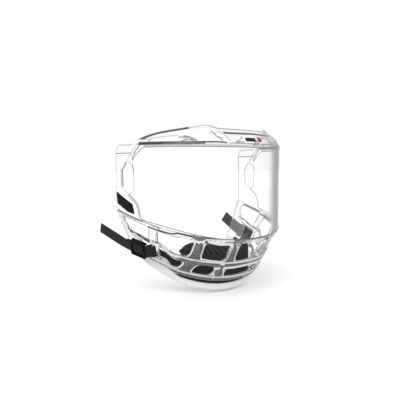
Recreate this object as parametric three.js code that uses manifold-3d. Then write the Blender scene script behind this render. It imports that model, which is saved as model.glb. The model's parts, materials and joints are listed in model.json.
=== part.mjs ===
// Clear full-face hockey visor with a chin cup, in millimetres.
//
// Frame: +Z up, the front of the face towards -Y, the wearer's right hand towards -X.
// Origin: midway between the two wings' rear edges, level with the fold where the lens meets the
// brow. The helmet that carries the visor fills the space around that point.
//
// The clear moulding is one piece of polycarbonate on the real visor. It is drawn here in the
// stretches that its folds divide it into: lens, brow, wings, vent frames, jaw plates, rails,
// struts and strap posts, each a solid with a hairline gap to the next.

import * as THREE from 'three';
import { mergeVertices } from 'three/addons/utils/BufferGeometryUtils.js';
import Module from 'manifold-3d';

const wasm = await Module();
wasm.setup();

// Overall sizes
const halfWidth = 100;          // half the width across the wings
const reach = 117.5;            // from the wings' rear edges to the front of the lens
const planPower = 2.3;          // roundness of the outline seen from above, 2 is an ellipse
const creaseRear = 70.5;        // drop from the brow fold to the lens's lower fold, at the rear
const creaseFront = 99.5;       // the same drop at the front
const guardLeanShare = 0.53;    // how far the guard leans in, as a share of its drop
const sheet = 2.8;              // wall of the clear moulding
const seam = 0.3;               // gap between neighbouring stretches
const overrun = 2;              // how far a cutter passes the face that it cuts
const weldShare = 0.001;        // points nearer than this share of a seam are one point

// Wings
const wingFront = 38;           // from the rear edge to the line where the lens begins
const wingCorner = 6;           // radius of the upper rear corner
const tabDrop = 9.8;            // height of the thin tab along a wing's top
const tabInset = 0.8;           // how far the tab's outer face lies under the wing's
const recessDepth = 1.2;        // depth of the six-sided recess
const recessTop = 17.3;         // drop from the brow fold to the recess's upper point
const recessTall = 35.8;        // height of the recess
const recessRear = 12.8;        // from the rear edge to the recess
const recessLong = 17.1;        // length of the recess along the wing
// Corners of the recess as shares of its length, forward, and of its height, down.
const recessShares = [[0.35, 0], [0.78, 0.1], [1, 0.9], [0.68, 1], [0.02, 0.8], [0, 0.25]];

// Brow
const browTop = 19.4;           // height of the two brow peaks over the fold
const browDip = 15.7;           // height of the stretch between the peaks
const browPeakShare = 0.54;     // place of a peak, as a share of half the width from the middle
const browNotchShare = 0.43;    // place of the foot of the step below a peak
const browRear = 34;            // from the wings' rear edges to where the brow begins
const browRearTop = 4;          // height of the brow where it begins
const browInset = 18;           // how far the brow's top edge lies behind its fold
const browBreak = 7.5;          // height of the fold between the steep and the flat facet
const browBreakInset = 4;       // how far that fold lies behind the lower one

// Guard rails, their drops counted from the lens's lower fold
const topRailDrop = 5.5;        // lower edge of the ledge under the lens
const ledgeDepth = 4;           // how deep the ledge is, front to back
const middleDrop = 25.5;        // upper edge of the middle rail
const middleTall = 5;
const middleSwell = 2;          // how much taller the middle rail is at the front
const middleRise = 6.5;         // how much higher the middle rail runs at the side
const bottomDrop = 43;          // upper edge of the bottom rail
const bottomTall = 6.5;
const bottomRise = 3.7;         // how much higher the bottom rail runs at the side
const railDepth = 6.5;          // front to back depth of rails and struts
const riseFrom = 56;            // forward of this the rails begin to sink
const riseTo = 74;              // forward of this they run level

// Struts. Each one's top and foot lie at these shares of half the visor's width from the middle.
const cheekStrutShares = [0.65, 0.69];  // beside the long side window
const cheekStrutWide = 9;
const frontStrutShares = [0.27, 0.3];   // beside the middle window
const frontStrutWide = 9;
const jawStrutShares = [0.71, 0.77];    // in the lower row, at the jaw
const jawStrutWide = 12;
const chinStrutShares = [0.38, 0.42];   // in the lower row, beside the chin
const chinStrutWide = 13;

// Side vent frame and jaw plate, placed by the distance forward of the wings' rear edges
const sideStrutRear = 46;
const sideStrutFront = 55;
const ventRear = 11;            // rear end of the side vent
const ventTop = 2.6;            // bar over the side vent
const ventFootRear = 17.5;      // drop of the vent's lower edge at its rear end
const ventFootFront = 20;       // the same at its front end
const jawRear = 1;
const jawFront = 29;
const sidePostRear = 51;        // bar between the strap's opening and the lower row
const sidePostFront = 55;

// Strap, glide and post
const webWide = 14;             // width of the webbing
const webThick = 1.4;
const webClear = 0.35;          // clearance round the webbing
const postRadius = 1.6;
const postInset = 2;            // from the guard's outer face to the post's middle
const postForward = 46;         // forward place of the strap post on the lens's outline
const strapFlare = THREE.MathUtils.degToRad(13);      // turn of the strap outwards
const strapSlope = THREE.MathUtils.degToRad(13);      // climb of the strap to its free end
const loopFrom = THREE.MathUtils.degToRad(-36);       // turn where the loop round the post begins
const loopTo = THREE.MathUtils.degToRad(-243);        // and where it ends
const strapLeanShare = 0.5;     // how far the webbing leans outwards, as a share of its height
const strapReach = 71.5;        // from the post to the free end
const strapStand = 4.8;         // how far the under layer stands out from the post's middle
const strapMeet = 6.5;          // from the post to where both layers lie together
const strapUnder = 33;          // from the post to the end of the under layer
const strapBend = 38;           // from the post to where the free end begins to curl up
const strapCurl = 9;            // how much the free end curls up
const glideStart = 6.7;         // from the post to the glide
const glideLong = 19.5;
const glideBar = 2.2;           // length of a glide's bar along the strap
const glidePlate = 1.6;         // thickness of the glide's bars
const glideRail = 1.6;          // width of the glide's side rails

// Chin cup and pads
const cupWall = 2.4;
const cupRear = 9;              // forward place of the cup's rear tips on the lens's outline
const cupTop = 40.5;            // drop of the cup's upper edge from the lens's lower fold
const cupTopFront = 54;         // and at the front, where it runs below the bottom rail
const cupStepRear = 56;         // forward places between which it steps down
const cupStepFront = 76;
const cupFootFront = 63;        // drop of its lower edge at the front
const cupFootRear = 56;         // and at the rear tips
const cupCurl = 13;             // how far the cup's floor curls in under the chin
const cupCurlShare = 0.4;       // share of the cup's wall over which it stays upright
const padThick = 9;
const padUpperRear = 78;        // forward place of the upper pad's ends on the lens's outline
const padLowerRear = 40;        // forward place of the lower pad's ends
const padLevel = 98;            // forward of this the pads' edges run level
const padTop = 10;              // drop of the upper pad's top from the lens's lower fold
const padTip = 27;              // drop of its pointed ends
const padSplit = 21.5;          // drop of the line between the two pads, at the front
const padSplitRear = 34;        // and at the lower pad's ends
const padSplitFrom = 70;        // forward place from which it rises to the front
const padFoot = 46;             // drop of the lower pad's foot at its ends
const padFootFront = 56;        // and at the front, inside the cup
const padRim = 4;               // thickness of the pads at their edges
const channelDepth = 1.2;       // depth of the slanted channels in the upper pad's face
const channelWide = 9;          // distance from one channel to the next
const channelSlant = -12;       // how far a channel runs sideways over the pad's height

// Side badge
const badgeThick = 0.6;
const badgeRear = 1;
const badgeFront = 33.5;
const badgeTop = 51;            // drop from the brow fold at its rear
const badgeFall = 12.5;         // how far its upper edge falls towards the front
const badgeTall = 14;
const badgeNose = 29;           // forward of this the upper edge drops to the nose
const badgeNoseShare = 0.6;     // how far it drops there, as a share of the badge's height

// Counts
const lensSteps = 40;
const railSteps = 36;
const wingSteps = 8;
const cupSteps = 28;
const cupRows = 5;
const padSteps = 28;
const channelSteps = 72;
const padRows = 6;
const loopSteps = 10;
const curlSteps = 6;
const barSides = 12;

const vec = (x, y, z) => new THREE.Vector3(x, y, z);
const lerp = THREE.MathUtils.lerp;
const smooth = (value, low, high) => THREE.MathUtils.smoothstep(value, low, high);

const materials = {
  clear: new THREE.MeshStandardMaterial({ color: 0xe9eef0, roughness: 0.05, metalness: 0 }),
  cup: new THREE.MeshStandardMaterial({ color: 0xe6e1d8, roughness: 0.35, metalness: 0 }),
  foam: new THREE.MeshStandardMaterial({ color: 0x1f1f21, roughness: 0.85, metalness: 0 }),
  webbing: new THREE.MeshStandardMaterial({ color: 0x222224, roughness: 0.8, metalness: 0 }),
  plastic: new THREE.MeshStandardMaterial({ color: 0x161618, roughness: 0.4, metalness: 0 }),
};

// Solids

// A closed geometry from a list of points and faces, turned so that its faces point outwards.
function closedGeometry(points, faces) {
  let volume = 0;
  for (const [a, b, c] of faces) {
    volume += points[a].dot(points[b].clone().cross(points[c]));
  }
  const index = faces.flatMap(([a, b, c]) => (volume > 0 ? [a, b, c] : [a, c, b]));
  const geometry = new THREE.BufferGeometry().setFromPoints(points);
  geometry.setIndex(index);
  geometry.computeVertexNormals();
  return geometry;
}

// The solid between an outer and an inner surface, both given over u and v from 0 to 1.
function slab(across, down, outer, inner) {
  const points = [];
  const faces = [];
  const at = (side, i, j) => side * (across + 1) * (down + 1) + j * (across + 1) + i;
  for (const surface of [outer, inner]) {
    for (let j = 0; j <= down; j += 1) {
      for (let i = 0; i <= across; i += 1) {
        points.push(surface(i / across, j / down));
      }
    }
  }
  const quad = (a, b, c, d) => faces.push([a, b, c], [a, c, d]);
  for (let j = 0; j < down; j += 1) {
    for (let i = 0; i < across; i += 1) {
      quad(at(0, i, j), at(0, i + 1, j), at(0, i + 1, j + 1), at(0, i, j + 1));
      quad(at(1, i, j), at(1, i, j + 1), at(1, i + 1, j + 1), at(1, i + 1, j));
    }
  }
  for (let i = 0; i < across; i += 1) {
    quad(at(0, i, 0), at(1, i, 0), at(1, i + 1, 0), at(0, i + 1, 0));
    quad(at(0, i, down), at(0, i + 1, down), at(1, i + 1, down), at(1, i, down));
  }
  for (let j = 0; j < down; j += 1) {
    quad(at(0, 0, j), at(0, 0, j + 1), at(1, 0, j + 1), at(1, 0, j));
    quad(at(0, across, j), at(1, across, j), at(1, across, j + 1), at(0, across, j + 1));
  }
  return closedGeometry(points, faces);
}

function toManifold(geometry) {
  const bare = geometry.clone();
  bare.deleteAttribute('normal');
  if (bare.getAttribute('uv')) bare.deleteAttribute('uv');
  const merged = mergeVertices(bare, seam * weldShare);
  const vertProperties = new Float32Array(merged.getAttribute('position').array);
  const triVerts = new Uint32Array(merged.getIndex().array);
  return new wasm.Manifold(new wasm.Mesh({ numProp: 3, vertProperties, triVerts }));
}

function fromManifold(solid) {
  const mesh = solid.getMesh();
  const geometry = new THREE.BufferGeometry();
  const positions = new Float32Array(mesh.vertProperties);
  geometry.setAttribute('position', new THREE.BufferAttribute(positions, mesh.numProp));
  geometry.setIndex(new THREE.BufferAttribute(new Uint32Array(mesh.triVerts), 1));
  geometry.computeVertexNormals();
  return geometry;
}

function cut(geometry, ...cutters) {
  const whole = toManifold(geometry);
  return fromManifold(cutters.reduce((solid, cutter) => solid.subtract(toManifold(cutter)), whole));
}

function join(...geometries) {
  return fromManifold(geometries.map(toManifold).reduce((solid, next) => solid.add(next)));
}

// The mirror image of a right-hand piece, for the wearer's left.
function mirrored(geometry) {
  const copy = geometry.clone().scale(-1, 1, 1);
  const index = copy.getIndex();
  for (let i = 0; i < index.count; i += 3) {
    const second = index.getX(i + 1);
    index.setX(i + 1, index.getX(i + 2));
    index.setX(i + 2, second);
  }
  copy.computeVertexNormals();
  return copy;
}

const visor = new THREE.Group();

function place(name, geometry, material) {
  const mesh = new THREE.Mesh(geometry, material);
  mesh.name = name;
  visor.add(mesh);
  return mesh;
}

function placePair(name, geometry, material) {
  place(`${name}_right`, geometry, material);
  place(`${name}_left`, mirrored(geometry), material);
}

// The outline seen from above: angle 0 is the wearer's right rear, pi the left rear.
function outline(angle, shrink = 1, inset = 0) {
  const power = 2 / planPower;
  const side = Math.sign(Math.cos(angle)) * Math.abs(Math.cos(angle)) ** power;
  const front = Math.abs(Math.sin(angle)) ** power;
  return vec(-(halfWidth * shrink - inset) * side, -(reach * shrink - inset) * front, 0);
}

const angleForward = (forward) => Math.asin((forward / reach) ** (planPower / 2));
const angleSide = (side) => Math.acos((side / halfWidth) ** (planPower / 2));
const forwardAt = (angle) => -outline(angle).y;
const creaseAt = (angle) => lerp(creaseRear, creaseFront, forwardAt(angle) / reach);

// A point of the lens or a wing, by its drop from the brow fold.
function wallPoint(angle, drop, inset) {
  return outline(angle, 1, inset).setZ(-drop);
}

// A point of the guard, by its drop from the lens's lower fold.
function guardPoint(angle, drop, inset) {
  const shrink = 1 - (guardLeanShare * drop) / reach;
  return outline(angle, shrink, inset).setZ(-creaseAt(angle) - drop);
}

// Lens, brow and wings

function lens() {
  const start = angleForward(wingFront + seam);
  const point = (inset) => (u, v) => {
    const angle = lerp(start, Math.PI - start, u);
    return wallPoint(angle, lerp(seam, creaseAt(angle) - seam, v), inset);
  };
  return slab(lensSteps, 1, point(0), point(sheet));
}

function wing() {
  const end = angleForward(wingFront);
  const rows = [0, tabDrop - seam, tabDrop, 1];
  const point = (inset) => (u, v) => {
    const forward = wingFront * u;
    const angle = Math.min(angleForward(forward), end);
    const short = Math.max(0, wingCorner - forward) / wingCorner;
    const top = wingCorner * (1 - Math.sqrt(1 - short * short));
    const row = Math.round(v * (rows.length - 1));
    const drop = row < 3 ? Math.max(rows[row], top) : creaseAt(angle) - seam;
    const tab = row < 2 && inset === 0 ? tabInset : 0;
    return wallPoint(angle, row === 0 ? top : drop, inset + tab);
  };
  return slab(2 * wingSteps, rows.length - 1, point(0), point(sheet));
}

// A six-sided cutter that stands across the wing's outer face.
function recessCutter() {
  const shape = new THREE.Shape(recessShares.map(([along, down]) => new THREE.Vector2(
    -(recessRear + along * recessLong), -(recessTop + down * recessTall))));
  const depth = recessDepth + overrun;
  const solid = new THREE.ExtrudeGeometry(shape, { depth, bevelEnabled: false });
  const middle = angleForward(recessRear + recessLong / 2);
  const face = outline(middle).x;
  // The shape's X runs forward and its Y up; its thickness runs from the recess floor outwards.
  const toWing = new THREE.Matrix4().makeBasis(vec(0, 1, 0), vec(0, 0, 1), vec(1, 0, 0));
  return solid.applyMatrix4(toWing).translate(face - overrun, 0, 0);
}

function browTopAt(angle) {
  const peak = halfWidth * browPeakShare;
  const side = Math.abs(outline(angle).x);
  if (side > peak) {
    const peakForward = forwardAt(angleSide(peak));
    const share = (forwardAt(angle) - browRear) / (peakForward - browRear);
    return lerp(browRearTop, browTop, Math.sqrt(Math.max(0, share)));
  }
  return lerp(browDip, browTop, smooth(side, halfWidth * browNotchShare, peak));
}

function brow() {
  const start = angleForward(browRear);
  const point = (inset) => (u, v) => {
    const angle = lerp(start, Math.PI - start, u);
    const top = browTopAt(angle);
    const grown = top / browTop;
    const folds = [[0, 0], [browBreak * grown, browBreakInset * grown], [top, browInset * grown]];
    const [rise, back] = folds[Math.round(v * (folds.length - 1))];
    return wallPoint(angle, -rise, inset + back);
  };
  return slab(lensSteps, 2, point(0), point(sheet));
}

place('lens_window', lens(), materials.clear);
place('brow_band', brow(), materials.clear);
placePair('wing', cut(wing(), recessCutter()), materials.clear);

// Guard

// The cup stands inside the bottom rail's lower edge.
const cupInset = railDepth + seam;
const cupShrink = 1 - (guardLeanShare * (bottomDrop + bottomTall)) / reach;

// How far the rails have sunk to their front level, 1 at the side and 0 at the front.
const riseAt = (angle) => 1 - smooth(forwardAt(angle), riseFrom, riseTo);
const middleAt = (angle) => middleDrop - middleRise * riseAt(angle);
const bottomAt = (angle) => bottomDrop - bottomRise * riseAt(angle);

function rail(fromForward, topAt, tallAt, depth) {
  const start = angleForward(fromForward);
  const point = (inset) => (u, v) => {
    const angle = lerp(start, Math.PI - start, u);
    return guardPoint(angle, topAt(angle) + tallAt(angle) * v, inset);
  };
  return slab(railSteps, 1, point(0), point(depth));
}

// A strut between two rails, by its places at its top and at its foot.
function strut([topShare, footShare], wide, topAt, footAt) {
  const point = (inset) => (u, v) => {
    const side = halfWidth * lerp(topShare, footShare, v);
    const angle = angleSide(side + wide * (0.5 - u));
    return guardPoint(angle, v === 0 ? topAt(angle) + seam : footAt(angle) - seam, inset);
  };
  return slab(2, 1, point(0), point(railDepth));
}

const ledgeFoot = () => topRailDrop;
const middleTallAt = (angle) => middleTall + middleSwell * (1 - riseAt(angle));
const middleFoot = (angle) => middleAt(angle) + middleTallAt(angle);

place('ledge_rail', rail(sideStrutFront + seam, () => seam, () => topRailDrop - seam, ledgeDepth),
  materials.clear);
place('middle_rail', rail(sideStrutFront + seam, middleAt, middleTallAt, railDepth), materials.clear);
place('bottom_rail', rail(jawFront + seam, bottomAt, () => bottomTall, railDepth), materials.clear);

placePair('cheek_strut', strut(cheekStrutShares, cheekStrutWide, ledgeFoot, middleAt), materials.clear);
placePair('front_strut', strut(frontStrutShares, frontStrutWide, ledgeFoot, middleAt), materials.clear);
placePair('jaw_strut', strut(jawStrutShares, jawStrutWide, middleFoot, bottomAt), materials.clear);
placePair('chin_strut', strut(chinStrutShares, chinStrutWide, middleFoot, bottomAt), materials.clear);

// A plate of the guard between two forward places, from its outer inset to its inner one.
function guardPlate(rear, front, topAt, footAt, outer, inner, steps = wingSteps) {
  const point = (inset) => (u, v) => {
    const angle = angleForward(lerp(rear, front, u));
    return guardPoint(angle, lerp(topAt(angle), footAt(angle), v), inset);
  };
  return slab(steps, 2, point(outer), point(inner));
}

function ventFrame() {
  const foot = (angle) => lerp(ventFootRear, ventFootFront, forwardAt(angle) / sideStrutRear);
  return cut(
    guardPlate(0, sideStrutFront, () => seam, middleFoot, 0, ledgeDepth, 2 * wingSteps),
    guardPlate(ventRear, sideStrutRear, () => ventTop, foot, -overrun, ledgeDepth + overrun));
}

const lowerRowTop = (angle) => middleFoot(angle) + seam;

function jawPlate() {
  const foot = (angle) => bottomAt(angle) + bottomTall;
  return guardPlate(jawRear, jawFront, lowerRowTop, foot, 0, ledgeDepth);
}

function sidePost() {
  const foot = (angle) => bottomAt(angle) - seam;
  return guardPlate(sidePostRear, sidePostFront, lowerRowTop, foot, 0, ledgeDepth, 2);
}

placePair('vent_frame', ventFrame(), materials.clear);
placePair('jaw_plate', jawPlate(), materials.clear);
placePair('side_post', sidePost(), materials.clear);

// Strap, glide and post, in the post's own frame

const postAngle = angleForward(postForward);
const postTopDrop = lowerRowTop(postAngle);
const postFootDrop = bottomAt(postAngle) - seam;
const postCentre = guardPoint(postAngle, (postTopDrop + postFootDrop) / 2, postInset);

// Unit directions: along the strap to its free end, up across its width, and outwards.
const strapAlong = vec(-Math.sin(strapFlare) * Math.cos(strapSlope),
  Math.cos(strapFlare) * Math.cos(strapSlope), Math.sin(strapSlope));
const strapUp = vec(-strapLeanShare, 0, 1);
strapUp.addScaledVector(strapAlong, -strapUp.dot(strapAlong)).normalize();
const strapOut = strapAlong.clone().cross(strapUp).normalize();
if (strapOut.x > 0) strapOut.negate();

function strapPoint(along, up, out) {
  return postCentre.clone().addScaledVector(strapAlong, along)
    .addScaledVector(strapUp, up).addScaledVector(strapOut, out);
}

function post() {
  const tall = (postFootDrop - postTopDrop) / Math.hypot(1, guardLeanShare) - 2 * seam;
  const geometry = new THREE.CylinderGeometry(postRadius, postRadius, tall, barSides);
  const turn = new THREE.Matrix4().makeBasis(strapOut, strapUp, strapOut.clone().cross(strapUp));
  return geometry.applyMatrix4(turn).translate(postCentre.x, postCentre.y, postCentre.z);
}

// Outward places of the two layers where they lie together, over the jaw plate.
const overOut = strapStand + webThick + webClear;
const loopRadius = postRadius + webClear + webThick / 2;

// The webbing's centre line as places along and outwards, from the under layer's end round the
// post to the free end.
function webbingLine() {
  const line = [
    [strapUnder, strapStand],
    [strapMeet + glideBar, strapStand],
    [strapMeet, strapStand],
  ];
  for (let i = 0; i <= loopSteps; i += 1) {
    const angle = lerp(loopFrom, loopTo, i / loopSteps);
    line.push([loopRadius * Math.cos(angle), loopRadius * Math.sin(angle)]);
  }
  line.push(
    [strapMeet, overOut], [strapMeet + glideBar, overOut], [strapUnder, overOut],
    [strapBend, overOut]);
  for (let i = 1; i <= curlSteps; i += 1) {
    line.push([lerp(strapBend, strapReach, i / curlSteps), overOut]);
  }
  return line;
}

// How far the webbing has curled up at a place along it.
function strapLift(along) {
  const past = Math.max(0, along - strapBend) / (strapReach - strapBend);
  return strapCurl * past ** 2;
}

function webbing() {
  const line = webbingLine();
  const last = line.length - 1;
  const point = (side) => (u, v) => {
    const i = Math.round(u * last);
    const before = line[Math.max(0, i - 1)];
    const after = line[Math.min(last, i + 1)];
    const way = new THREE.Vector2(after[0] - before[0], after[1] - before[1]).normalize();
    const [along, out] = line[i];
    const shift = (side * webThick) / 2;
    const up = (v - 0.5) * webWide + (i > last / 2 ? strapLift(along) : 0);
    return strapPoint(along - way.y * shift, up, out + way.x * shift);
  };
  return slab(last, 1, point(1), point(-1));
}

// A box in the strap's frame, each direction given as a start and an end.
function strapBox(along, up, out) {
  const directions = [along, up, out];
  const [long, tall, thick] = directions.map(([from, to]) => to - from);
  const middle = directions.map(([from, to]) => (from + to) / 2);
  const side = strapAlong.clone().cross(strapUp);
  const turn = new THREE.Matrix4().makeBasis(strapAlong, strapUp, side).setPosition(strapPoint(...middle));
  return new THREE.BoxGeometry(long, tall, thick).applyMatrix4(turn);
}

function glide() {
  const half = webWide / 2 + webClear;
  const low = strapStand - webThick / 2 - webClear;
  const high = overOut + webThick / 2 + webClear;
  const end = glideStart + glideLong;
  const middle = glideStart + glideLong / 2;
  const across = [-half - glideRail / 2, half + glideRail / 2];
  const whole = [low - glidePlate, high + glidePlate];
  return join(
    strapBox([glideStart, end], [half, half + glideRail], whole),
    strapBox([glideStart, end], [-half - glideRail, -half], whole),
    strapBox([glideStart, glideStart + glideBar], across, [high, high + glidePlate]),
    strapBox([end - glideBar, end], across, [high, high + glidePlate]),
    strapBox([middle - glideBar, middle + glideBar], across, [low - glidePlate, low]));
}

placePair('strap_post', post(), materials.clear);
placePair('strap', webbing(), materials.webbing);
placePair('tri_glide', glide(), materials.plastic);

// Chin cup and pads

const cupStep = (angle) => smooth(forwardAt(angle), cupStepRear, cupStepFront);
const cupTopAt = (angle) => lerp(cupTop, cupTopFront, cupStep(angle));

function chinCup() {
  const start = angleForward(cupRear);
  const point = (inset) => (u, v) => {
    const angle = lerp(start, Math.PI - start, u);
    const share = forwardAt(angle) / reach;
    const foot = lerp(cupFootRear, cupFootFront, Math.sqrt(share));
    const curl = Math.max(0, v - cupCurlShare) / (1 - cupCurlShare);
    const drop = lerp(cupTopAt(angle), foot, Math.sin((v * Math.PI) / 2)) - inset * curl;
    const into = cupInset + inset * (1 - curl) + cupCurl * share * curl * curl;
    return outline(angle, cupShrink, into).setZ(-creaseAt(angle) - drop);
  };
  return slab(cupSteps, cupRows, point(0), point(cupWall));
}

// A foam pad. Its inner face swells from its rim to its full thickness, and its front face may
// have slanted channels.
function pad(rear, topAt, footAt, channels, steps) {
  const start = angleForward(rear);
  const face = cupInset + cupWall + seam;
  const long = outline(start).distanceTo(outline(Math.PI - start));
  const point = (depthAt) => (u, v) => {
    const angle = lerp(start, Math.PI - start, u);
    const drop = lerp(topAt(angle), footAt(angle), v);
    return outline(angle, cupShrink, face + depthAt(u, v)).setZ(-creaseAt(angle) - drop);
  };
  const swell = (share) => 1 - (2 * share - 1) ** 6;
  const crown = (u, v) => lerp(padRim, padThick, swell(u) * swell(v));
  const channel = (u, v) => {
    const turns = (long * (u - 0.5) + channelSlant * v) / channelWide;
    return channels * swell(v) * (0.5 - 0.5 * Math.cos(2 * Math.PI * turns));
  };
  return slab(steps, padRows, point(channel), point(crown));
}

// The pads' edges, by their drops.
function padUpperTop(angle) {
  const share = (forwardAt(angle) - padUpperRear) / (padLevel - padUpperRear);
  return lerp(padTip, padTop, Math.sqrt(Math.min(1, Math.max(0, share))));
}

const padMiddle = (angle) => (
  lerp(padSplitRear, padSplit, smooth(forwardAt(angle), padSplitFrom, padLevel)));
const padFootAt = (angle) => lerp(padFoot, padFootFront, cupStep(angle));

place('chin_cup', chinCup(), materials.cup);
place('chin_pad_upper', pad(padUpperRear, padUpperTop, (angle) => padMiddle(angle) - seam,
  channelDepth, channelSteps), materials.foam);
place('chin_pad_lower', pad(padLowerRear, padMiddle, padFootAt, 0, padSteps), materials.foam);

// Side badge, on the wearer's right only

function badge() {
  const point = (outward) => (u, v) => {
    const forward = lerp(badgeRear, badgeFront, u);
    const angle = angleForward(forward);
    const fall = badgeFall * (forward - badgeRear) / (badgeFront - badgeRear);
    const nose = Math.max(0, forward - badgeNose) / (badgeFront - badgeNose);
    const top = badgeTop + fall + nose * badgeTall * badgeNoseShare;
    const foot = Math.max(badgeTop + fall + badgeTall, top + seam);
    return wallPoint(angle, lerp(top, foot, v), -outward);
  };
  return slab(wingSteps, 1, point(seam + badgeThick), point(seam));
}

place('badge_right', badge(), materials.plastic);

export default visor;
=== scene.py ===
# Looks of a clear full-face hockey visor with a padded chin cup and side straps.
import json
import math

import bpy
from bpy.props import FloatProperty, FloatVectorProperty, PointerProperty
from mathutils import Matrix, Vector


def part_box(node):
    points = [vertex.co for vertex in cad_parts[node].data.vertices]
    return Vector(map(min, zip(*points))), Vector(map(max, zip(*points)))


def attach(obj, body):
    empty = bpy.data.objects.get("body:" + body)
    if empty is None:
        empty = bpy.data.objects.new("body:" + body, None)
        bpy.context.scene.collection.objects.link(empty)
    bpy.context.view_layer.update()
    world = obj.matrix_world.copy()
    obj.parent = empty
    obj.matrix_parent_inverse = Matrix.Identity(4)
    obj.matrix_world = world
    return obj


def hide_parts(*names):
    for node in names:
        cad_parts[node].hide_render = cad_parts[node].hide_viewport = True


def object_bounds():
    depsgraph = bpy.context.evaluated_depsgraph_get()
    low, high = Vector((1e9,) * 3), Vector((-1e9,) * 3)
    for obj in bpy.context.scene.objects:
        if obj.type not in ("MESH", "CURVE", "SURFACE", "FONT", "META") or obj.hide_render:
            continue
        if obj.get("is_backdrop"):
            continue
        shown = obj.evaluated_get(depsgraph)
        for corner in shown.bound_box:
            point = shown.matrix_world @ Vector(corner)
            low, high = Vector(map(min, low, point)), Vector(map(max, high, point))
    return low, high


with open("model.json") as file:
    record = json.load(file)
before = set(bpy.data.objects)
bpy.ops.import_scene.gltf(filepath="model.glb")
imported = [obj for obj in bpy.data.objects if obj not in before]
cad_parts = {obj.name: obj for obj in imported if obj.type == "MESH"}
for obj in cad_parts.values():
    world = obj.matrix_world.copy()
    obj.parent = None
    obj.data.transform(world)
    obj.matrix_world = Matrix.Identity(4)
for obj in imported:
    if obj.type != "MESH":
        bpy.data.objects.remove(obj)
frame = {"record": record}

bl_info = {
    "name": "Hockey full visor",
    "version": (1, 0, 0),
    "blender": (4, 5, 0),
    "location": "View3D > Sidebar > Visor",
    "description": "Builds the looks of a clear full-face hockey visor over its fixed frame",
    "category": "Object",
}

SIDES = ("right", "left")

# The visor's plan and folds, in metres, as the frame has them
HALF_WIDTH = -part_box("wing_right")[0][0]
REACH = -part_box("lens_window")[0][1]
PLAN_POWER = 2.3
CREASE_REAR = 0.0705       # drop from the brow fold to the lens's lower fold, at the rear
CREASE_FRONT = 0.0995      # and at the front
GUARD_LEAN_SHARE = 0.53    # how far the guard leans in, as a share of its drop
FRAME_SEAM = 0.0003        # gap between the frame's stretches
WING_FRONT = 0.038
WING_CORNER = 0.006        # radius of a wing's upper rear corner
TAB_DROP = 0.0098          # drop and forward end of the tab along a wing's top
TAB_FRONT = 0.028
TAB_INSET = 0.0008
FRONT_COLUMNS = 110        # stretches of a piece that runs across the front

# Guard, its drops counted from the lens's lower fold
LEDGE_DROP = 0.0055
MIDDLE_DROP = 0.0255
MIDDLE_TALL = 0.005
MIDDLE_SWELL = 0.002       # how much taller it is at the front
MIDDLE_RISE = 0.0065       # how much higher it runs along the sides
BOTTOM_DROP = 0.043
BOTTOM_TALL = 0.0065
BOTTOM_RISE = 0.0037
RISE_FROM = 0.056          # forward places between which the rails come down
RISE_TO = 0.074
VENT_TOP = 0.0029
VENT_FOOT = (0.0178, 0.0212)   # drop of the vent's lower edge at the rear and the front
VENT_LONG = 0.046
CUP_INSET = 0.0068
CUP_SHRINK = 1 - GUARD_LEAN_SHARE * (BOTTOM_DROP + BOTTOM_TALL) / REACH

# The right strap's post, its swing axis and the way the strap runs
JOINTS = {joint["name"]: joint for joint in frame["record"]["behaviour"]["joints"]}
POST = Vector(JOINTS["strap_right_swing"]["pos_m"])
STRAP_UP = Vector(JOINTS["strap_right_swing"]["axis"]).normalized()
STRAP_ALONG = Vector(JOINTS["glide_right_slide"]["axis"]).normalized()
STRAP_OUT = STRAP_ALONG.cross(STRAP_UP).normalized()
if STRAP_OUT.x > 0:
    STRAP_OUT.negate()


# Shape formulas

def lerp(low, high, share):
    return low + (high - low) * share


def smooth_step(value, low, high):
    share = min(1.0, max(0.0, (value - low) / (high - low)))
    return share * share * (3 - 2 * share)


def steps(low, high, count):
    return [lerp(low, high, i / count) for i in range(count + 1)]


def outline(angle, shrink=1.0, inset=0.0):
    """A point of the outline seen from above: angle 0 is the wearer's right rear, pi the left rear."""
    power = 2 / PLAN_POWER
    side = math.copysign(abs(math.cos(angle)) ** power, math.cos(angle))
    front = abs(math.sin(angle)) ** power
    return Vector((-(HALF_WIDTH * shrink - inset) * side, -(REACH * shrink - inset) * front, 0))


def angle_forward(forward):
    return math.asin(min(1.0, max(0.0, forward) / REACH) ** (PLAN_POWER / 2))


def angle_side(side):
    """The angle at a distance from the middle, counted towards the wearer's right."""
    angle = math.acos(min(1.0, abs(side) / HALF_WIDTH) ** (PLAN_POWER / 2))
    return angle if side >= 0 else math.pi - angle


def forward_at(angle):
    return -outline(angle).y


def across_front(forward, count=FRONT_COLUMNS):
    """Angles right across the front, from a forward place on one side to the same on the other."""
    start = angle_forward(forward)
    return steps(start, math.pi - start, count)


def level(drop):
    """A drop that is the same at every angle."""
    return lambda angle: drop


def changing(drops, span):
    """A drop that changes between two forward places."""
    return lambda angle: lerp(*drops, smooth_step(forward_at(angle), *span))


def crease_at(angle):
    return lerp(CREASE_REAR, CREASE_FRONT, forward_at(angle) / REACH)


def wall_point(angle, drop, inset=0.0):
    """A point of the lens or a wing, by its drop from the brow fold."""
    point = outline(angle, 1.0, inset)
    point.z = -drop
    return point


def guard_point(angle, drop, inset=0.0):
    """A point of the guard, by its drop from the lens's lower fold."""
    point = outline(angle, 1 - GUARD_LEAN_SHARE * drop / REACH, inset)
    point.z = -crease_at(angle) - drop
    return point


def rise_at(angle):
    return 1 - smooth_step(forward_at(angle), RISE_FROM, RISE_TO)


def middle_at(angle):
    return MIDDLE_DROP - MIDDLE_RISE * rise_at(angle)


def bottom_at(angle):
    return BOTTOM_DROP - BOTTOM_RISE * rise_at(angle)


def middle_foot(angle):
    return middle_at(angle) + MIDDLE_TALL + MIDDLE_SWELL * (1 - rise_at(angle))


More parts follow.
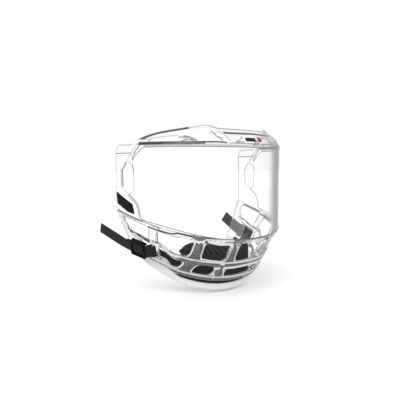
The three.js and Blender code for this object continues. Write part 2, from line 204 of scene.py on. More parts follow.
def bottom_foot(angle):
    return bottom_at(angle) + BOTTOM_TALL


def strap_point(along, up, out):
    return POST + STRAP_ALONG * along + STRAP_UP * up + STRAP_OUT * out


def mirror(point):
    return Vector((-point.x, point.y, point.z))


def side_place(side, point):
    return point if side == "right" else mirror(point)


# Modelling helpers

def deselect():
    if bpy.context.object and bpy.context.object.mode != "OBJECT":
        bpy.ops.object.mode_set(mode="OBJECT")
    bpy.ops.object.select_all(action="DESELECT")


def activate(piece):
    deselect()
    piece.select_set(True)
    bpy.context.view_layer.objects.active = piece


def apply_modifiers(piece):
    activate(piece)
    for modifier in list(piece.modifiers):
        bpy.ops.object.modifier_apply(modifier=modifier.name)


def grid_piece(name, columns, rows, place, materials, paint=None, outward=None):
    """A grid laid on the surface that place gives for each column and row value. Without outward, its
    faces look away from the middle of the head."""
    deselect()
    across, down = len(columns) - 1, len(rows) - 1
    bpy.ops.mesh.primitive_grid_add(x_subdivisions=across, y_subdivisions=down, size=1)
    piece = bpy.context.object
    piece.name = piece.data.name = name
    mesh = piece.data
    cells = []
    for vertex in mesh.vertices:
        i, j = round((vertex.co.x + 0.5) * across), round((vertex.co.y + 0.5) * down)
        cells.append((i, j))
        vertex.co = place(columns[i], rows[j])
    for material in materials:
        mesh.materials.append(material)
    if paint:
        for face in mesh.polygons:
            i = min(cells[v][0] for v in face.vertices)
            face.material_index = paint(lerp(columns[i], columns[i + 1], 0.5))
    layout = mesh.uv_layers.active.data
    for loop in mesh.loops:
        i, j = cells[loop.vertex_index]
        layout[loop.index].uv = (columns[i], rows[j])
    mesh.update()
    way = outward or (lambda centre: Vector((centre.x, centre.y + REACH / 3, 0)))
    if sum(face.normal.dot(way(face.center)) * face.area for face in mesh.polygons) < 0:
        mesh.flip_normals()
    return piece


def wall(piece, thickness, offset=-1.0, weights=None):
    """Gives a sheet its wall, towards the inside."""
    modifier = piece.modifiers.new("Wall", "SOLIDIFY")
    modifier.thickness = thickness
    modifier.offset = offset
    modifier.use_even_offset = weights is None
    if weights:
        modifier.vertex_group = weights


def soften(piece, width, segments=2, material=-1, limit=35):
    modifier = piece.modifiers.new("Edges", "BEVEL")
    modifier.width = width
    modifier.segments = segments
    modifier.limit_method = "ANGLE"
    modifier.angle_limit = math.radians(limit)
    modifier.material = material
    modifier.harden_normals = False


def finish_piece(piece, body, nodes, angle=35):
    apply_modifiers(piece)
    bpy.ops.object.shade_smooth_by_angle(angle=math.radians(angle))
    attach(piece, body)
    if nodes:
        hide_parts(*nodes)
    deselect()
    return piece


def closed_bar(name, columns, ring, place):
    """A closed curved bar of the guard: place gives the ring's points for each column."""
    piece = grid_piece(name, columns, range(len(ring) + 1), lambda u, row: place(u, *ring[row % len(ring)]),
                       [clear_bar_material()])
    activate(piece)
    bpy.ops.object.mode_set(mode="EDIT")
    bpy.ops.mesh.select_all(action="SELECT")
    bpy.ops.mesh.remove_doubles(threshold=1e-6)
    bpy.ops.mesh.fill_holes(sides=0)
    bpy.ops.mesh.select_all(action="SELECT")
    bpy.ops.mesh.normals_make_consistent(inside=False)
    bpy.ops.object.mode_set(mode="OBJECT")
    return piece


def join_pieces(pieces, name):
    deselect()
    for piece in pieces:
        piece.select_set(True)
    bpy.context.view_layer.objects.active = pieces[0]
    bpy.ops.object.join()
    joined = bpy.context.object
    joined.name = joined.data.name = name
    return joined


# Materials

CLEAR_IOR = 1.58           # of the sheet and its edges
BAR_IOR = 1.5              # of the guard's bars

# Tones of edge: the material's name, its colour and cover among the properties, its refraction, and
# the fineness and span of its roughness
# The line, faint and bar tones and the dark fold are painted shade for the dark that clear edges refract; the
# light tone is a painted highlight
EDGE_TONES = {
    "line": ("edge", "line_colour", "line_cover", CLEAR_IOR, 220.0, 0.12, 0.3),
    "faint": ("shallow edge", "line_colour", "faint_shade_cover", CLEAR_IOR, 220.0, 0.12, 0.3),
    "light": ("bright edge", "highlight_colour", "highlight_cover", CLEAR_IOR, 200.0, 0.1, 0.25),
    "dark": ("fold", "fold_shade_colour", "fold_shade_cover", CLEAR_IOR, 160.0, 0.08, 0.25),
    "bar": ("bar edge", "bar_line_shade_colour", "bar_line_shade_cover", BAR_IOR, 220.0, 0.08, 0.25),
}


def feed(tree, socket, value):
    """Links a socket to an output, or sets its value."""
    if isinstance(value, bpy.types.NodeSocket):
        tree.links.new(value, socket)
    else:
        socket.default_value = value


def material_of(name, inputs_of):
    """The material with this name; inputs_of gives its shader's inputs when it is first asked for."""
    material = bpy.data.materials.get(name)
    if not material:
        material = bpy.data.materials.new(name)
        material.use_nodes = True
        tree = material.node_tree
        shader = tree.nodes["Principled BSDF"]
        for key, value in inputs_of(tree).items():
            feed(tree, shader.inputs[key], value)
    return material


def add_node(tree, kind, inputs, **settings):
    node = tree.nodes.new("ShaderNode" + kind)
    for name, value in settings.items():
        setattr(node, name, value)
    for key, value in inputs.items():
        feed(tree, node.inputs[key], value)
    return node


def calculate(tree, operation, *values):
    return add_node(tree, "Math", dict(enumerate(values)), operation=operation).outputs["Value"]


def solid(tint, strength=1.0):
    """An opaque colour, made lighter or darker by a strength."""
    return (*[c * strength for c in tint], 1)


def blend(tree, part, low, high):
    """A colour between two others."""
    return add_node(tree, "Mix", {"A": low, "B": high, "Factor": part}, data_type="RGBA").outputs["Result"]


def spread(tree, value, low=0.0, high=1.0, start=0.0, end=1.0, kind="LINEAR"):
    """Maps a value from the span between start and end to that between low and high."""
    inputs = {"Value": value, "From Min": start, "From Max": end, "To Min": low, "To Max": high}
    return add_node(tree, "MapRange", inputs, interpolation_type=kind).outputs["Result"]


def noise(tree, scale, detail=3.0):
    place = tree.nodes.new("ShaderNodeTexCoord").outputs["Object"]
    return add_node(tree, "TexNoise", {"Vector": place, "Scale": scale, "Detail": detail}).outputs["Fac"]


def bump(tree, height, strength, distance):
    inputs = {"Strength": strength, "Distance": distance, "Height": height}
    return add_node(tree, "Bump", inputs).outputs["Normal"]


def facing(tree):
    """How far the surface turns away from the view."""
    return add_node(tree, "LayerWeight", {"Blend": 0.5}).outputs["Facing"]


def clear_sheet_material(lens=False):
    """Thin clear polycarbonate: all but invisible face on, with painted grey where it turns away that stands
    for the dark room it reflects there, most so on the lens.
    """
    finish = bpy.context.scene.visor_finish

    def inputs_of(tree):
        turned = calculate(tree, "POWER", facing(tree), finish.sheet_edge_power)
        if lens:
            # The weight painted on the lens's own vertices keeps this painted reflection of the dark room off
            # the wings
            painted = tree.nodes.new("ShaderNodeAttribute")
            painted.attribute_name = "lens"
            curve = spread(tree, facing(tree), 0.0, finish.lens_edge, 0.47, 0.8, "SMOOTHSTEP")
            turned = calculate(tree, "MAXIMUM", turned,
                               calculate(tree, "MULTIPLY", curve, painted.outputs["Fac"]))
        return {
            "Base Color": blend(tree, turned, solid(finish.clear_tint), solid(finish.clear_edge)),
            "Alpha": spread(tree, turned, finish.sheet_cover, finish.sheet_edge_cover),
            "Roughness": 0.04,
            "IOR": CLEAR_IOR,
            "Specular IOR Level": 0.2,
        }

    return material_of(f"clear polycarbonate {'lens' if lens else 'sheet'}", inputs_of)


def edge_material(tone):
    """The clear moulding's rounded edges: the grey and dark tones are painted shade for the dark of the room
    they gather, the light tone a painted highlight where they catch its light.
    """
    finish = bpy.context.scene.visor_finish
    name, tint, cover, refraction, scale, low, high = EDGE_TONES[tone]
    return material_of(f"clear polycarbonate {name}", lambda tree: {
        "Base Color": solid(getattr(finish, tint)),
        "IOR": refraction,
        "Alpha": getattr(finish, cover),
        "Roughness": spread(tree, noise(tree, scale), low, high),
    })


def clear_bar_material():
    """Thick clear polycarbonate of the guard: clear face on, with painted grey along its turned edges that
    stands for the dark room they reflect.
    """
    finish = bpy.context.scene.visor_finish

    def inputs_of(tree):
        turned = calculate(tree, "POWER", facing(tree), finish.bar_edge_power)
        return {
            "Base Color": blend(tree, turned, solid(finish.bar_tint), solid(finish.bar_edge)),
            "IOR": BAR_IOR,
            "Transmission Weight": finish.bar_transmission,
            "Roughness": spread(tree, noise(tree, 90.0), 0.01, 0.06),
        }

    return material_of("clear polycarbonate bar", inputs_of)


def cup_material():
    """Off-white satin plastic with a faint moulded grain."""
    tint = bpy.context.scene.visor_finish.cup_colour

    def inputs_of(tree):
        grain = noise(tree, 1400.0, 2.0)
        return {
            "Base Color": blend(tree, noise(tree, 45.0, 2.0), solid(tint), solid(tint, 0.94)),
            "Roughness": spread(tree, grain, 0.32, 0.46),
            "Normal": bump(tree, grain, 0.12, 0.0003),
        }

    return material_of("off-white cup plastic", inputs_of)


def foam_material(long, ridged):
    """Dark closed-cell foam, with a painted highlight along the ridges between the channels."""
    tint = bpy.context.scene.visor_finish.foam_colour

    def inputs_of(tree):
        place = tree.nodes.new("ShaderNodeTexCoord").outputs["Object"]
        cells = add_node(tree, "TexVoronoi", {"Vector": place, "Scale": 900.0}).outputs["Distance"]
        base = blend(tree, cells, solid(tint, 0.75), solid(tint, 1.5))
        return {
            "Base Color": ridge_highlight(tree, long, base) if ridged else base,
            "Roughness": 0.75,
            "Specular IOR Level": 0.2,
            "Normal": bump(tree, cells, 0.4, 0.0003),
        }

    return material_of("dark ridged foam" if ridged else "dark foam", inputs_of)


def ridge_highlight(tree, long, base):
    """The foam's colour with a painted highlight on the ridges, by the same turns as the channels take."""
    finish, sizes = bpy.context.scene.visor_finish, bpy.context.scene.visor_chin
    place = tree.nodes.new("ShaderNodeUVMap").outputs["UV"]
    turns = (long / sizes.channel_wide, sizes.channel_slant / sizes.channel_wide, 0)
    phase = add_node(tree, "VectorMath", {0: place, 1: turns}, operation="DOT_PRODUCT").outputs["Value"]
    ridge = spread(tree, calculate(tree, "PINGPONG", phase, 0.5), start=0.3, end=0.46, kind="SMOOTHSTEP")
    return blend(tree, ridge, base, solid(finish.ridge_highlight))


def webbing_material():
    """Black woven webbing: ribs across the band and picks along it."""
    tint = bpy.context.scene.visor_finish.webbing_colour

    def inputs_of(tree):
        place = tree.nodes.new("ShaderNodeUVMap").outputs["UV"]
        split = add_node(tree, "SeparateXYZ", {"Vector": place}).outputs
        waves = [calculate(tree, "SINE", calculate(tree, "MULTIPLY", split[axis], 2 * math.pi / pitch))
                 for axis, pitch in (("X", 0.0012), ("Y", 0.0009))]
        weave = spread(tree, calculate(tree, "MULTIPLY", *waves), start=-1.0)
        return {
            "Base Color": blend(tree, weave, solid(tint, 0.6), solid(tint, 1.5)),
            "Roughness": 0.8,
            "Specular IOR Level": 0.12,
            "Normal": bump(tree, weave, 0.5, 0.0003),
        }

    return material_of("black woven webbing", inputs_of)


def black_plastic_material():
    tint = bpy.context.scene.visor_finish.plastic_colour

    def inputs_of(tree):
        grain = noise(tree, 900.0)
        return {
            "Base Color": solid(tint),
            "Specular IOR Level": 0.06,
            "Roughness": spread(tree, grain, 0.28, 0.42),
            "Normal": bump(tree, grain, 0.1, 0.0002),
        }

    return material_of("black satin plastic", inputs_of)


def print_material(name, tint):
    return material_of(name, lambda tree: {
        "Base Color": solid(tint),
        "Specular IOR Level": 0.1,
        "Roughness": spread(tree, noise(tree, 400.0), 0.25, 0.4),
    })


# Properties

def length(name, description, default):
    return FloatProperty(name=name, description=description, default=default, unit="LENGTH", precision=5)


def colour(name, description, default):
    return FloatVectorProperty(name=name, description=description, default=default, subtype="COLOR",
                               min=0, max=1)


def share(name, description, default):
    return FloatProperty(name=name, description=description, default=default, subtype="FACTOR", min=0, max=1)


class VisorFinish(bpy.types.PropertyGroup):
    """Colours and clearness of the visor's materials"""
    clear_tint: colour("Clear tint", "Colour of the clear sheet face on", (0.86, 0.88, 0.89))
    # The clear edge colour, the edge cover and power and the lens edge set a painted reflection of the dark
    # room where the sheet turns away
    clear_edge: colour("Clear edge", "Colour of the clear sheet where it turns away", (0.05, 0.052, 0.055))
    sheet_cover: share("Sheet cover", "How much the clear sheet hides face on", 0.02)
    sheet_edge_cover: share("Sheet edge cover", "How much it hides where it turns away", 1.0)
    sheet_edge_power: FloatProperty(name="Edge power", description="How sharply it greys", default=3.8)
    lens_edge: share("Lens edge", "How much the lens greys towards its turned edge", 0.8)
    # The line, faint and fold colours and covers are painted shade along edges and folds; the light edge
    # colour and cover are a painted highlight
    line_colour: colour("Line colour", "Colour of the sheet's rounded edges", (0.2, 0.21, 0.22))
    line_cover: share("Line cover", "How much the sheet's rounded edges hide", 0.75)
    faint_shade_cover: share("Faint cover", "How much the shallow edges hide", 0.35)
    highlight_colour: colour("Light edge colour", "Colour of the edges that catch the light", (0.95, 0.96, 0.97))
    highlight_cover: share("Light edge cover", "How much the edges that catch the light hide", 0.75)
    fold_shade_colour: colour("Fold colour", "Colour of the thick brow fold", (0.02, 0.021, 0.022))
    fold_shade_cover: share("Fold cover", "How much the thick fold hides", 0.92)
    bar_tint: colour("Bar tint", "Colour of the guard's clear bars", (0.93, 0.94, 0.945))
    # The bar edge colour and power set the bars' painted reflection of the dark room where they turn away
    bar_edge: colour("Bar edge", "Colour of the bars where they turn away", (0.16, 0.165, 0.17))
    bar_edge_power: FloatProperty(name="Bar edge power", description="How sharply the bars grey", default=3.0)
    bar_transmission: share("Bar clearness", "How much light the bars let through", 0.95)
    # The bar line colour and cover are painted shade along the bars' rounded edges
    bar_line_shade_colour: colour("Bar line colour", "Colour of the bars' rounded edges", (0.5, 0.51, 0.52))
    bar_line_shade_cover: share("Bar line cover", "How much the bars' rounded edges hide", 0.7)
    cup_colour: colour("Cup colour", "Colour of the chin cup", (0.97, 0.965, 0.95))
    foam_colour: colour("Foam colour", "Colour of the chin pads", (0.022, 0.022, 0.024))
    # The ridge colour is a painted highlight along the foam's ridges
    ridge_highlight: colour("Ridge colour", "Colour of the foam along its ridges", (0.075, 0.075, 0.08))
    webbing_colour: colour("Webbing colour", "Colour of the straps", (0.025, 0.025, 0.027))
    plastic_colour: colour("Plastic colour", "Colour of the glides and the badge", (0.007, 0.007, 0.0075))


class VisorShell(bpy.types.PropertyGroup):
    """Sizes of the lens, wings and brow"""
    wall: length("Wall", "Thickness of the clear sheet", 0.0028)
    edge_round: length("Edge round", "Width of the sheet's rounded edges", 0.0004)
    line_height: length("Line height", "How far the moulded lines stand out", 0.0003)


class VisorGuard(bpy.types.PropertyGroup):
    """Sizes of the guard's bars"""
    bar_depth: length("Bar depth", "Front to back depth of rails and struts", 0.0063)
    plate_depth: length("Plate depth", "Depth of the vent frames, jaw plates and side posts", 0.0032)
    bevel: length("Bevel", "Width of the bevelled corners of rails and struts", 0.0013)
    groove: length("Groove", "Depth of the groove along the face of rails and struts", 0.0008)
    grain: length("Fillet grain", "How finely the moulding's fillets are worked", 0.0007)


class VisorChin(bpy.types.PropertyGroup):
    """Sizes of the chin cup and its pads"""
    cup_wall: length("Cup wall", "Thickness of the chin cup", 0.0024)
    pad_thick: length("Pad thickness", "Thickness of the pads at their middle", 0.0088)
    channel_depth: length("Channel depth", "Depth of the slanted channels in the upper pad", 0.0014)
    channel_wide: length("Channel spacing", "Distance from one channel to the next", 0.009)
    channel_slant: length("Channel slant", "How far a channel runs sideways over the pad", -0.012)


class VisorStrap(bpy.types.PropertyGroup):
    """Sizes of the straps and glides"""
    web_wide: length("Webbing width", "Width of the webbing", 0.014)
    web_thick: length("Webbing thickness", "Thickness of the webbing", 0.0014)
    reach_right: length("Right reach", "From the post to the right strap's free end", 0.0712)
    reach_left: length("Left reach", "From the post to the left strap's free end", 0.0750)
    rise_right: share("Right rise", "How steeply the right strap's free part climbs", 0.25)
    rise_left: share("Left rise", "How steeply the left strap's free part climbs", 0.12)
    twist: FloatProperty(name="Twist", description="How far the right strap's free part turns up",
                         default=math.radians(4), subtype="ANGLE")
    side_rail: length("Glide rail", "Width of a glide's side rails", 0.0016)


class VisorStudio(bpy.types.PropertyGroup):
    """Camera and lights"""
    camera_place: FloatVectorProperty(name="Camera", description="Place of the camera",
                                      default=(-0.3816, -0.4288, -0.0243), subtype="TRANSLATION")
    camera_turn: FloatProperty(name="Camera turn", description="Direction of view from straight ahead",
                               default=math.radians(44.82), subtype="ANGLE")
    camera_tilt: FloatProperty(name="Camera tilt", description="How far the camera looks down",
                               default=math.radians(5.3), subtype="ANGLE")
    camera_lens: FloatProperty(name="Lens", description="Focal length on a 36 mm sensor", default=39.43,
                               subtype="DISTANCE_CAMERA")
    key_strength: FloatProperty(name="Key light", description="Strength of the key light", default=1.5)
    fill_strength: FloatProperty(name="Fill light", description="Strength of the fill light", default=0.5)
    room_strength: FloatProperty(name="Room light", description="Light from all round", default=0.66)
    floor_gap: length("Floor gap", "From the floor to the visor's lowest point", 0.0005)


# Lens and wings

def shell_columns():
    """Angles of the shell's columns, close together on the wings."""
    corner = [WING_CORNER * (1 - math.cos(math.radians(a))) for a in (0, 15, 30, 45, 60, 75, 90)]
    flat = [0.010, 0.014, 0.019, 0.024, TAB_FRONT, TAB_FRONT + FRAME_SEAM, 0.033, WING_FRONT]
    right = [angle_forward(forward) for forward in corner + flat]
    front = steps(right[-1], math.pi - right[-1], 120)[1:-1]
    return right + front + [math.pi - angle for angle in reversed(right)]


def shell_place(angle, row):
    """Rows 0 to 1 are the tab along a wing's top, 2 to 3 the wall below it."""
    forward = forward_at(angle)
    short = max(0.0, WING_CORNER - forward) / WING_CORNER
    top = WING_CORNER * (1 - math.sqrt(max(0.0, 1 - short * short)))
    inset = 0.0
    if row <= 1:
        drop = lerp(top, TAB_DROP - FRAME_SEAM, row)
        if forward <= TAB_FRONT + FRAME_SEAM / 2:
            inset = TAB_INSET
    else:
        drop = lerp(TAB_DROP, crease_at(angle), row - 2)
    return wall_point(angle, drop, inset)


def build_shell():
    sizes = bpy.context.scene.visor_shell
    rows = [0, 0.5, 1] + steps(2, 3, 10)
    start = angle_forward(WING_FRONT)
    # The lens's painted greying, a painted reflection of the dark room, sets in between these forward places
    lens_from, lens_full = 0.045, 0.070      # forward places between which the lens's greying sets in
    piece = grid_piece("clear_shell", shell_columns(), rows, shell_place,
                       [clear_sheet_material(), edge_material("faint"), clear_sheet_material(lens=True)],
                       paint=lambda angle: 2 if start < angle < math.pi - start else 0)
    lens = piece.data.attributes.new("lens", "FLOAT", "POINT")
    for vertex, value in zip(piece.data.vertices, lens.data):
        value.value = smooth_step(-vertex.co.y, lens_from, lens_full)
    wall(piece, sizes.wall)
    # The rounded edges take the faint edge material, a painted shade line along the sheet's edges
    soften(piece, sizes.edge_round, material=1)
    finish_piece(piece, "visor", ["lens_window", "wing_right", "wing_left"])


# Brow

BROW_TOP = 0.0194          # height of the two peaks, and between them
BROW_DIP = 0.0157
BROW_PEAK = 0.054          # place to the side of a peak, and of the step's foot below it
BROW_NOTCH = 0.043
BROW_REAR = 0.034          # forward place of the rear ends, and their height
BROW_REAR_TOP = 0.004
BROW_INSET = 0.018         # how far the top lies in
BROW_BREAK = 0.0075        # height of the crease along the face, and how far it lies in
BROW_BREAK_INSET = 0.004


def brow_top(angle):
    side = abs(outline(angle).x)
    if side > BROW_PEAK:
        peak_forward = forward_at(angle_side(BROW_PEAK))
        part = (forward_at(angle) - BROW_REAR) / (peak_forward - BROW_REAR)
        return lerp(BROW_REAR_TOP, BROW_TOP, math.sqrt(max(0.0, part)))
    return lerp(BROW_DIP, BROW_TOP, smooth_step(side, BROW_NOTCH, BROW_PEAK))


def brow_place(angle, height_share):
    top = brow_top(angle)
    grown = top / BROW_TOP
    break_share = BROW_BREAK / BROW_TOP
    if height_share < break_share:
        inset = BROW_BREAK_INSET * grown * height_share / break_share
    else:
        inset = lerp(BROW_BREAK_INSET * grown, BROW_INSET * grown,
                     (height_share - break_share) / (1 - break_share))
    return wall_point(angle, -top * height_share, inset)


def build_brow():
    sizes = bpy.context.scene.visor_shell
    break_share = BROW_BREAK / BROW_TOP
    rows = [0, 0.08, break_share * 0.6, break_share, 0.55, 0.62, 0.68, 0.8, 0.9, 1]
    piece = grid_piece("brow_shell", across_front(BROW_REAR), rows, brow_place,
                       [clear_sheet_material(), edge_material("faint")])
    wall(piece, sizes.wall)
    # The rounded edges take the faint edge material, a painted shade line along the brow's edges
    soften(piece, sizes.edge_round, material=1, limit=50)
    finish_piece(piece, "visor", ["brow_band"])


# Moulded lines: raised beads in painted shade and painted highlights

BEAD_ROWS = [-1, -0.4, 0.4, 1]     # places over a bead's width
BEAD_WALL = 0.8                    # a bead's wall, as a share of its height
BEAD_STEP = 0.002                  # length of a drawn line's stretches
GUARD_STAND = 0.0005               # how far the guard's drawn lines stand off its bars

# Each drawn line: tone, width, and the places it runs through, in mm. Of two tones the first is for the right
# side, the second for the left. Some follow the moulding's steps and edges, and some stand for what the clear
# moulding refracts and reflects; their grey and dark tones are painted shade, their light tones painted
# highlights.
# On the wings, by places forward and down from the brow fold
WING_LINES = (
    ("faint line", 0.8, [(0.5, 70.3), (0.5, 9.8), (2, 3.4), (5.2, 0.9), (28, 0.9)]),
    ("line", 1, [(0.1, 9.4), (26.6, 9.4)]),
    ("faint line", 0.9, [(35.6, 0.4), (28.4, 8.2), (19.8, 17.3), (25.8, 20.8)]),
    ("dark line", 1, [(28.2, 20.8), (30.6, 30.3)]),
    ("faint line", 0.9, [(30.3, 30.3), (29.4, 48.8), (23.8, 53.2)]),
    ("faint", 0.9, [(23.8, 53.2), (11, 46.2)]),
    ("line faint", 1.8, [(12.8, 45.6), (12.2, 27.2), (18.8, 18.6)]),
    ("faint none", 2.2, [(10, 45), (9.6, 26)]),
    ("line", 1.2, [(39.2, 1.2), (34.1, 6.6), (30.3, 11.3), (28.9, 14.2), (28.4, 17)]),
    ("line", 0.9, [(44.5, 3.6), (40, 6.3), (34.6, 10.6), (29.4, 16)]),
    ("line", 1.2, [(22, 52.8), (28, 56.4), (33.4, 60.6), (36.4, 65), (37.8, 70.5), (38.6, 76),
                   (41.5, 78.6), (48, 80.8)]),
    ("faint none", 1.6, [(21, 54.6), (27, 58.2), (32.2, 62.2), (34.8, 66.4), (36.2, 72), (37.2, 77.4)]),
    ("line none", 2, [(3.4, 69.6), (6.7, 71.4), (18, 74.5), (33.2, 78.3), (42, 80.3)]),
)
# On the brow, by the place to the side and the height
BROW_LINES = (
    ("dark faint", 2.1, [(-96.6, 4.6), (-96, 6.2), (-95.2, 7.6), (-92.6, 10.2), (-89, 11.9), (-84.5, 13.2),
                         (-73.2, 15.9)]),
    ("faint", 0.8, [(-73.2, 16.1), (-57.8, 18.9), (-54.2, 18.6)]),
    ("line", 0.9, [(-54.2, 18.6), (-51, 16.9), (-44.4, 15.4), (-30, 15.2), (0, 15.2)]),
    ("faint", 0.9, [(-93.6, 1.8), (-93.5, 4.5), (-92.6, 5.5), (-87.1, 6.8), (-79.9, 8)]),
    ("faint", 2.4, [(-79.7, 5.8), (-76, 5.8), (-74.3, 3.6)]),
    ("line", 1.8, [(-76.6, 6.8), (-73.6, 6.2), (-67.3, 2.2)]),
    ("line", 1.2, [(-77.6, 1.8), (-74, 3.1), (-69.5, 2.6)]),
    ("faint", 1.8, [(-54.8, 13.2), (-51.8, 11), (-51, 7), (-47.3, 5.6), (-44.9, 1.8)]),
    ("line", 1, [(-52.6, 10.6), (-49.8, 8.8)]),
    ("line", 0.9, [(-49.6, 6.6), (-47, 4.6), (-45.8, 4.8)]),
    ("faint", 1.2, [(-47.6, 12), (-44, 11.2), (-40, 6.4), (-37, 2.2)]),
    ("faint", 1, [(-56.8, 10.6), (-53.8, 9.6)]),
    ("dark", 2, [(-41.3, 11.3), (-37.3, 10.7), (-15.6, 10.8), (0, 11.2)]),
    ("faint", 2, [(-29.2, 1.6), (-24.6, 4.4), (-20.6, 7.2)]),
    ("faint", 2.2, [(-31.6, 1.4), (-20, 1.4)]),
    ("dark faint", 3, [(-96.8, 0.1), (-90, 0.1), (-72, 0.1), (-61, 0.3)]),
    ("dark faint", 1.8, [(-95.8, 0.1), (-90, -0.1), (-72, -0.1), (-64, 0.1)]),
    ("dark line", 1.3, [(-61, 1), (-50, 1.2), (-41, 0.6)]),
    ("line", 0.9, [(-38, 0.2), (-20, 0.2), (0, 0.2)]),
)
# On the guard's sides, by places forward and down from the lens's lower fold
GUARD_LINES = (
    ("faint dark", 1.3, [(12, 2.6), (30, 2.6), (45, 3)]),
    ("faint line", 1, [(45, 3.4), (48.6, 5.4), (42.6, 21.6)]),
    ("faint line", 0.8, [(42.4, 21.9), (26, 19.9), (12.3, 18.1), (8.3, 7.3), (10.9, 3.2)]),
    ("faint line", 1, [(55.6, 5.4), (68, 5.2), (80.4, 5.2)]),
    ("faint line", 0.8, [(56.4, 8.3), (52.1, 22.6)]),
    ("faint line", 1, [(16.5, 22.5), (30, 24.8), (37.1, 26.3)]),
    ("line dark", 1.5, [(36.6, 26.2), (39.4, 28), (40.1, 30.2), (39, 33), (36.8, 35.1)]),
    ("line faint", 1.8, [(14.2, 12.9), (12.1, 19.4), (14.1, 20.8), (22.3, 18.2)]),
    ("faint line", 0.9, [(1.4, 0.3), (1.4, 12), (1.6, 24), (1.8, 33)]),
    ("dark none", 3.6, [(27.4, 18.8), (33.2, 19.4)]),
    ("line none", 4, [(34.2, 19.4), (39, 20), (45.6, 20.4)]),
    ("dark none", 2, [(36, 21.2), (44, 21.8)]),
    ("faint none", 1, [(17.1, 1.9), (21.2, 4.2), (20.4, 9.6), (16.4, 22.5)]),
    ("faint none", 1.4, [(57.6, 7.4), (56.8, 18.6), (60.7, 22.1)]),
)
# On each half of its front, by places to the side and down from the same fold
FRONT_LINES = (
    ("line", 3.6, [(-70.5, 0.6), (-65.2, 2.6), (-60.8, 0.9)]),
    ("line", 2.6, [(-66.6, 2.8), (-64.8, 4.4)]),
    ("light", 1.6, [(-86.9, 5.4), (-79, 3.4), (-74.1, 2.4), (-70.6, 3), (-67.4, 6.4)]),
    ("light", 1.6, [(-63.1, 6.4), (-62, 3.6), (-59.7, 1.9), (-47.7, 1.3), (-33, 1.2)]),
    ("light", 2.4, [(-58.7, 4.4), (-47, 6), (-32.8, 5.4)]),
    ("dark", 1.8, [(-60.6, 5), (-57.6, 6)]),
    ("dark", 1.4, [(-25.5, 7.6), (-21.4, 3.2)]),
    ("light", 1.6, [(-63.6, 24.6), (-52.9, 25.3), (-38.6, 25.8)]),
    ("line", 1.8, [(-68.8, 28.6), (-58.6, 30), (-40.2, 30.4)]),
    ("light", 3, [(-41.5, 28), (-35.8, 28.6)]),
    ("light", 2.4, [(-47.2, 34.9), (-40.2, 33.3)]),
    ("light", 1.8, [(-50.4, 42.2), (-46, 40)]),
    ("light", 1.6, [(-46, 40.4), (-46.4, 47)]),
    ("line", 3.4, [(-44.4, 37.6), (-40.4, 40.6)]),
    ("light", 2.6, [(-36.2, 33.4), (-22.8, 33), (-8, 32.6), (0, 32.6)]),
    ("light", 2, [(-35.8, 34), (-34.6, 38), (-33.8, 40.8)]),
)
# Beads along the guard's rails and down its struts: width, tone, and place over the bar. The light beads are
# painted highlights, the others painted shade lines.
RAIL_LINES = ((0.0006, "line", 0.06), (0.0018, "light", 0.26), (0.0022, "faint", 0.72))
STRUT_LINES = ((0.0012, "light", 0.06), (0.0014, "faint", 0.24), (0.0012, "light", 0.92))
STRUT_LINE_ENDS = (0.02, 0.98)     # shares of a strut's length between which its beads run


def line_place(points):
    """A function that gives the place and the sideways direction at a share of a drawn line."""
    spans = [math.dist(a, b) for a, b in zip(points, points[1:])]
    total = sum(spans)

    def at(part):
        gone = part * total
        for a, b, span in zip(points, points[1:], spans):
            if gone <= span or b is points[-1]:
                inside = min(1.0, gone / span)
                way = Vector((b[0] - a[0], b[1] - a[1])) / span
                return Vector((lerp(a[0], b[0], inside), lerp(a[1], b[1], inside))), Vector((-way.y, way.x))
            gone -= span
        raise ValueError("the line has no length")

    return at, total


def bead(name, columns, place, tone):
    """A raised bead: place gives a point for each column, place across and height."""
    high = bpy.context.scene.visor_shell.line_height
    piece = grid_piece(name, columns, BEAD_ROWS,
                       lambda u, across: place(u, across, high * (1 - abs(across))), [edge_material(tone)])
    wall(piece, high * BEAD_WALL)
    return piece


def drawn_bead(name, points, width, tone, side, surface):
    """A bead along a line drawn through pairs of places on a surface."""
    at, total = line_place(points)

    def place(part, across, lift):
        centre, sideways = at(part)
        spot = centre + sideways * (across * width / 2)
        return side_place(side, surface(spot.x, spot.y, lift))

    return bead(name, steps(0, 1, max(2, round(total / BEAD_STEP))), place, tone)


def join_beads(beads, name):
    for piece in beads:
        apply_modifiers(piece)
    finish_piece(join_pieces(beads, name), "visor", [], angle=60)


def build_line_set(name, lines, surface):
    """One piece a side for all the lines of a table."""
    for side in SIDES:
        beads = []
        for number, (tones, width, points) in enumerate(lines):
            tone = tones.split()[-1 if side == "left" else 0]
            if tone != "none":
                spots = [(a / 1000, b / 1000) for a, b in points]
                beads.append(drawn_bead(f"{name}_{number}", spots, width / 1000, tone, side, surface))
        join_beads(beads, f"{name}_{side}")


# Points at a height over each surface that lines are drawn on

def wing_lift(forward, drop, lift):
    return wall_point(angle_forward(forward), drop, -lift)


def brow_lift(side, height, lift):
    angle = angle_side(-side)
    point = brow_place(angle, height / brow_top(angle))
    away = Vector((point.x * 0.6, point.y, 0)).normalized()      # near enough to the face's own normal
    return point + away * lift


def guard_lift(forward, drop, lift):
    return guard_point(angle_forward(forward), drop, -lift - GUARD_STAND)


def front_lift(side, drop, lift):
    return guard_point(angle_side(-side), drop, -lift - GUARD_STAND)


